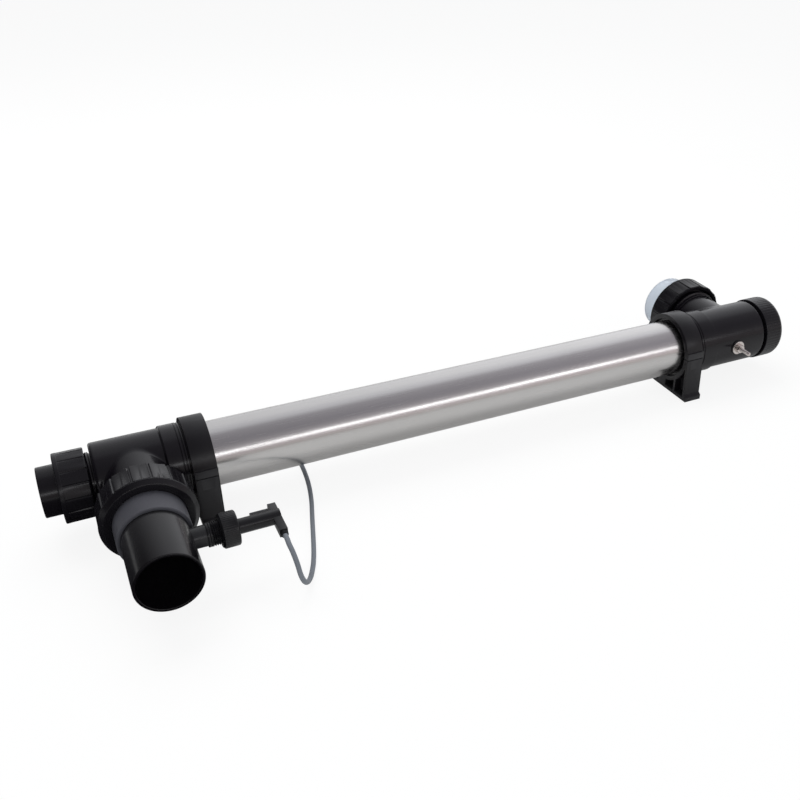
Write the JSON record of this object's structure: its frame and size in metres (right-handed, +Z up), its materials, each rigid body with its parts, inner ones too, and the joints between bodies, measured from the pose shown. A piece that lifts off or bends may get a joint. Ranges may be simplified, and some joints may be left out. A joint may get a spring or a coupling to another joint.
{
  "type": "uv clarifier",
  "caption": "Steel-tube ultraviolet pond clarifier with plastic tees, pipe unions, hinged floor clamps and a lift-out flow switch.",
  "frame": {"origin": "on the base plane, midway between the two clamp screws, under the tube's axis", "axes": "+X along the tube from the inlet end to the lamp end, +Z up from the base plane, inlet branch faces -Y, outlet branch faces +Y"},
  "size_m": [0.939, 0.315, 0.103],
  "materials": {
    "tube_steel": "lengthwise brushed",
    "fastener_steel": "bright",
    "black_pvc": "satin moulded",
    "clamp_plastic": "fine satin",
    "nut_plastic": "satin moulded",
    "pipe_black": "extruded gloss",
    "tail_grey": "satin",
    "switch_plastic": "fine matt",
    "black_rubber": "matt",
    "quartz": "clear",
    "lamp_glass": "clear",
    "clear_pvc": "clear",
    "white_plastic": "satin",
    "ceramic": "unglazed",
    "contact_metal": "bright",
    "cable_grey": "satin jacket",
    "tie_plastic": "satin",
    "connector_plastic": "satin",
    "board": "lacquered"
  },
  "bodies": {
    "housing": {"reactor_tube": "tube_steel", "inlet_tee": "black_pvc", "outlet_tee": "black_pvc", "inlet_tube_seal": "black_rubber", "outlet_tube_seal": "black_rubber", "inlet_clamp_saddle": "clamp_plastic", "outlet_clamp_saddle": "clamp_plastic", "inlet_bow_pin": "fastener_steel", "outlet_bow_pin": "fastener_steel", "sleeve_guide": "white_plastic", "quartz_sleeve": "quartz", "sleeve_bush": "black_pvc", "sleeve_seal": "black_rubber", "sleeve_gland_nut": "black_pvc", "earth_stud": "fastener_steel", "earth_washer": "fastener_steel", "earth_nut": "fastener_steel", "earth_strip": "fastener_steel", "inlet_union_seal": "black_rubber", "outlet_union_seal": "black_rubber", "plug_seal": "black_rubber"},
    "inlet_bow": {"inlet_clamp_bow": "clamp_plastic"},
    "outlet_bow": {"outlet_clamp_bow": "clamp_plastic"},
    "lamp_unit": {"lamp_tube": "lamp_glass", "lamp_ends": "ceramic", "lamp_return_wire": "contact_metal", "lamp_pins": "contact_metal", "lamp_holder": "ceramic"},
    "cap": {"end_cap": "black_pvc", "cap_seal": "black_rubber", "cable_gland_body": "switch_plastic", "cable_gland_nut": "switch_plastic"},
    "inlet_pipework": {"inlet_pipe": "pipe_black", "inlet_tailpiece": "tail_grey", "switch_nipple": "pipe_black"},
    "inlet_nut": {"inlet_union_nut": "nut_plastic"},
    "outlet_pipework": {"outlet_tailpiece": "clear_pvc"},
    "outlet_nut": {"outlet_union_nut": "nut_plastic"},
    "plug": {"blanking_plug": "black_pvc"},
    "plug_nut": {"ring_nut": "nut_plastic"},
    "flow_switch": {"switch_body": "switch_plastic", "switch_gasket": "black_rubber", "switch_board": "board", "reed_capsule": "quartz", "paddle_pin": "fastener_steel", "cable_grommet": "black_rubber", "switch_cable": "cable_grey", "cable_coil": "cable_grey", "cable_tie": "tie_plastic", "cable_connector": "connector_plastic", "connector_pins": "contact_metal"},
    "flow_nut": {"switch_nut": "switch_plastic"},
    "flow_paddle": {"paddle": "switch_plastic", "paddle_magnet": "fastener_steel"}
  },
  "joints": [
    {"name": "inlet_bow_hinge", "type": "hinge", "parent": "housing", "child": "inlet_bow", "pos_m": [-0.3087, 0.04815, 0.056], "axis": [-1, 0, 0], "range_deg": [0, 95]},
    {"name": "outlet_bow_hinge", "type": "hinge", "parent": "housing", "child": "outlet_bow", "pos_m": [0.3087, 0.04815, 0.056], "axis": [-1, 0, 0], "range_deg": [0, 95]},
    {"name": "inlet_union_slide", "type": "slide", "parent": "housing", "child": "inlet_pipework", "axis": [0, -1, 0], "range_m": [0, 0.016]},
    {"name": "inlet_nut_turn", "type": "hinge", "parent": "inlet_pipework", "child": "inlet_nut", "pos_m": [-0.3728, -0.08, 0.056], "axis": [0, -1, 0], "range_deg": [0, 1440]},
    {"name": "outlet_union_slide", "type": "slide", "parent": "housing", "child": "outlet_pipework", "axis": [0, 1, 0], "range_m": [0, 0.016]},
    {"name": "outlet_nut_turn", "type": "hinge", "parent": "outlet_pipework", "child": "outlet_nut", "pos_m": [0.383, 0.08, 0.056], "axis": [0, 1, 0], "range_deg": [0, 1440]},
    {"name": "plug_slide", "type": "slide", "parent": "housing", "child": "plug", "axis": [-1, 0, 0], "range_m": [0, 0.018]},
    {"name": "plug_nut_turn", "type": "hinge", "parent": "plug", "child": "plug_nut", "pos_m": [-0.42, 0, 0.056], "axis": [-1, 0, 0], "range_deg": [0, 2160]},
    {"name": "lamp_slide", "type": "slide", "parent": "housing", "child": "lamp_unit", "axis": [1, 0, 0], "range_m": [0, 0.018]},
    {"name": "cap_turn", "type": "hinge", "parent": "lamp_unit", "child": "cap", "pos_m": [0.44, 0, 0.056], "axis": [1, 0, 0], "range_deg": [0, 2160]},
    {"name": "switch_lift", "type": "slide", "parent": "inlet_pipework", "child": "flow_switch", "axis": [1, 0, 0], "range_m": [0, 0.12]},
    {"name": "switch_nut_turn", "type": "hinge", "parent": "flow_switch", "child": "flow_nut", "pos_m": [-0.3128, -0.135, 0.056], "axis": [1, 0, 0], "range_deg": [0, 1080]},
    {"name": "paddle_swing", "type": "hinge", "parent": "flow_switch", "child": "flow_paddle", "pos_m": [-0.3252, -0.135, 0.056], "axis": [0, 0, -1], "range_deg": [0, 15], "stiffness_Nm_per_rad": 0.002}
  ],
  "couplings": [
    {"joint": "inlet_union_slide", "follows": "inlet_nut_turn", "m_per_rad": 0.000636},
    {"joint": "outlet_union_slide", "follows": "outlet_nut_turn", "m_per_rad": 0.000636},
    {"joint": "plug_slide", "follows": "plug_nut_turn", "m_per_rad": 0.000477},
    {"joint": "lamp_slide", "follows": "cap_turn", "m_per_rad": 0.000477}
  ]
}
